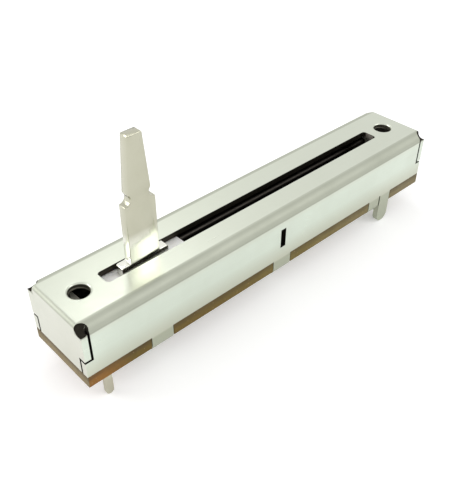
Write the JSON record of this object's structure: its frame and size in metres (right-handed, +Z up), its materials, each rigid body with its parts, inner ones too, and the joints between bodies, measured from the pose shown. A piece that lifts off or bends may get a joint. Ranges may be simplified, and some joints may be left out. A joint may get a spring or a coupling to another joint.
{
  "type": "slide potentiometer",
  "caption": "Slide potentiometer with a folded steel cover, a board with printed tracks below it and a flat steel lever that slides along a slot.",
  "frame": {"origin": "middle of the cover's top face, which seats against the panel", "axes": "+X along the lever's travel, +Y to the back, +Z up out of the top face"},
  "size_m": [0.06, 0.0104, 0.0278],
  "materials": {
    "tinned_steel": "satin tin plate",
    "phenolic_board": "cut phenolic paper board",
    "carbon_print": "matt carbon ink",
    "silver_print": "dull silver ink",
    "tinned_brass": "tin-plated brass, satin",
    "rod_steel": "ground and lightly greased",
    "white_moulding": "satin moulded acetal",
    "bumper_rubber": "matt",
    "lever_steel": "satin plated steel",
    "wiper_bronze": "bright spring bronze"
  },
  "bodies": {
    "housing": {"cover": "tinned_steel", "resistor_board": "phenolic_board", "carbon_track_front": "carbon_print", "carbon_track_back": "carbon_print", "collector_track_front": "silver_print", "collector_track_back": "silver_print", "terminal_1a": "tinned_brass", "terminal_2a": "tinned_brass", "terminal_3a": "tinned_brass", "terminal_1b": "tinned_brass", "terminal_2b": "tinned_brass", "terminal_3b": "tinned_brass", "terminal_rivets": "tinned_brass", "guide_rod_front": "rod_steel", "guide_rod_back": "rod_steel", "end_block_left": "white_moulding", "end_block_right": "white_moulding", "bumper_left": "bumper_rubber", "bumper_right": "bumper_rubber"},
    "slider": {"carrier": "white_moulding", "lever": "lever_steel", "wiper_front": "wiper_bronze", "wiper_back": "wiper_bronze"}
  },
  "joints": [
    {"name": "lever_slide", "type": "slide", "parent": "housing", "child": "slider", "axis": [1, 0, 0], "range_m": [-0.002, 0.038]}
  ]
}
